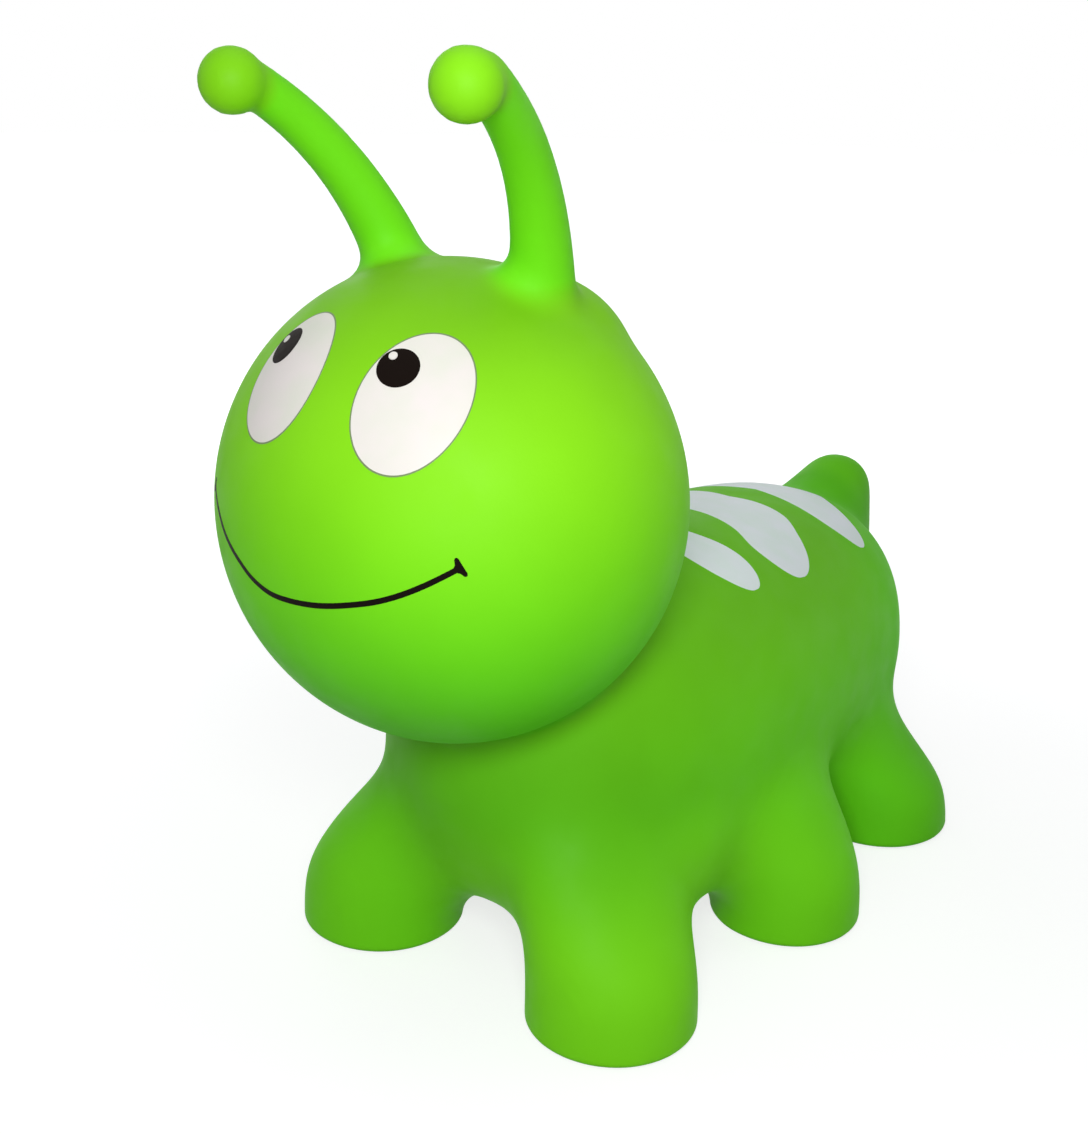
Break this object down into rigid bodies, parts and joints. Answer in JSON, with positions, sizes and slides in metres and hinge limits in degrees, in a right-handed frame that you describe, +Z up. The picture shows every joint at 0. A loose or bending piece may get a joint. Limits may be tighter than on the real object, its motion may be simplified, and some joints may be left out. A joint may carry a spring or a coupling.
{
  "type": "inflatable hopper animal",
  "caption": "Inflatable ride-on bug to sit on and bounce: a round smiling head with two bent antenna handles, a barrel body, stubby legs and a knob tail, blown up through a belly valve.",
  "frame": {"origin": "on the floor, under the middle of the toy's overall length and width", "axes": "+Z up; the animal faces -Y; its left side is +X"},
  "size_m": [0.33, 0.6329, 0.5536],
  "materials": {
    "lime_vinyl": "satin",
    "clear_vinyl": "satin",
    "white_ink": "satin",
    "black_ink": "satin"
  },
  "bodies": {
    "skin": {"torso": "lime_vinyl", "head": "lime_vinyl", "tail": "lime_vinyl", "leg_front_left": "lime_vinyl", "leg_front_right": "lime_vinyl", "leg_mid_left": "lime_vinyl", "leg_mid_right": "lime_vinyl", "leg_rear_left": "lime_vinyl", "leg_rear_right": "lime_vinyl", "antenna_root_left": "lime_vinyl", "antenna_root_right": "lime_vinyl", "eye_white_left": "white_ink", "eye_white_right": "white_ink", "pupil_left": "black_ink", "pupil_right": "black_ink", "eye_glint_left": "white_ink", "eye_glint_right": "white_ink", "mouth": "black_ink", "back_stripe_front": "white_ink", "back_stripe_middle": "white_ink", "back_stripe_rear": "white_ink", "valve_seat": "clear_vinyl"},
    "antenna_left": {"antenna_left": "lime_vinyl"},
    "antenna_right": {"antenna_right": "lime_vinyl"},
    "foot_front_left": {"foot_front_left": "lime_vinyl"},
    "foot_front_right": {"foot_front_right": "lime_vinyl"},
    "foot_mid_left": {"foot_mid_left": "lime_vinyl"},
    "foot_mid_right": {"foot_mid_right": "lime_vinyl"},
    "foot_rear_left": {"foot_rear_left": "lime_vinyl"},
    "foot_rear_right": {"foot_rear_right": "lime_vinyl"},
    "valve_plug": {"valve_plug": "clear_vinyl"}
  },
  "joints": [
    {"name": "antenna_left_flex", "type": "hinge", "parent": "skin", "child": "antenna_left", "pos_m": [0.0543, -0.19593, 0.45834], "axis": [1, 0, 0], "range_deg": [-25, 20], "stiffness_Nm_per_rad": 3, "deforming": ["antenna_root_left"]},
    {"name": "antenna_right_flex", "type": "hinge", "parent": "skin", "child": "antenna_right", "pos_m": [-0.05488, -0.19126, 0.45528], "axis": [1, 0, 0], "range_deg": [-25, 20], "stiffness_Nm_per_rad": 3, "deforming": ["antenna_root_right"]},
    {"name": "foot_front_left_squash", "type": "slide", "parent": "skin", "child": "foot_front_left", "axis": [0, 0, 1], "range_m": [0, 0.012], "stiffness_N_per_m": 2500, "deforming": ["leg_front_left"]},
    {"name": "foot_front_right_squash", "type": "slide", "parent": "skin", "child": "foot_front_right", "axis": [0, 0, 1], "range_m": [0, 0.012], "stiffness_N_per_m": 2500, "deforming": ["leg_front_right"]},
    {"name": "foot_mid_left_squash", "type": "slide", "parent": "skin", "child": "foot_mid_left", "axis": [0, 0, 1], "range_m": [0, 0.012], "stiffness_N_per_m": 2500, "deforming": ["leg_mid_left"]},
    {"name": "foot_mid_right_squash", "type": "slide", "parent": "skin", "child": "foot_mid_right", "axis": [0, 0, 1], "range_m": [0, 0.012], "stiffness_N_per_m": 2500, "deforming": ["leg_mid_right"]},
    {"name": "foot_rear_left_squash", "type": "slide", "parent": "skin", "child": "foot_rear_left", "axis": [0, 0, 1], "range_m": [0, 0.012], "stiffness_N_per_m": 2500, "deforming": ["leg_rear_left"]},
    {"name": "foot_rear_right_squash", "type": "slide", "parent": "skin", "child": "foot_rear_right", "axis": [0, 0, 1], "range_m": [0, 0.012], "stiffness_N_per_m": 2500, "deforming": ["leg_rear_right"]},
    {"name": "valve_plug_pull", "type": "slide", "parent": "skin", "child": "valve_plug", "axis": [0, 0, -1], "range_m": [0, 0.022]}
  ]
}
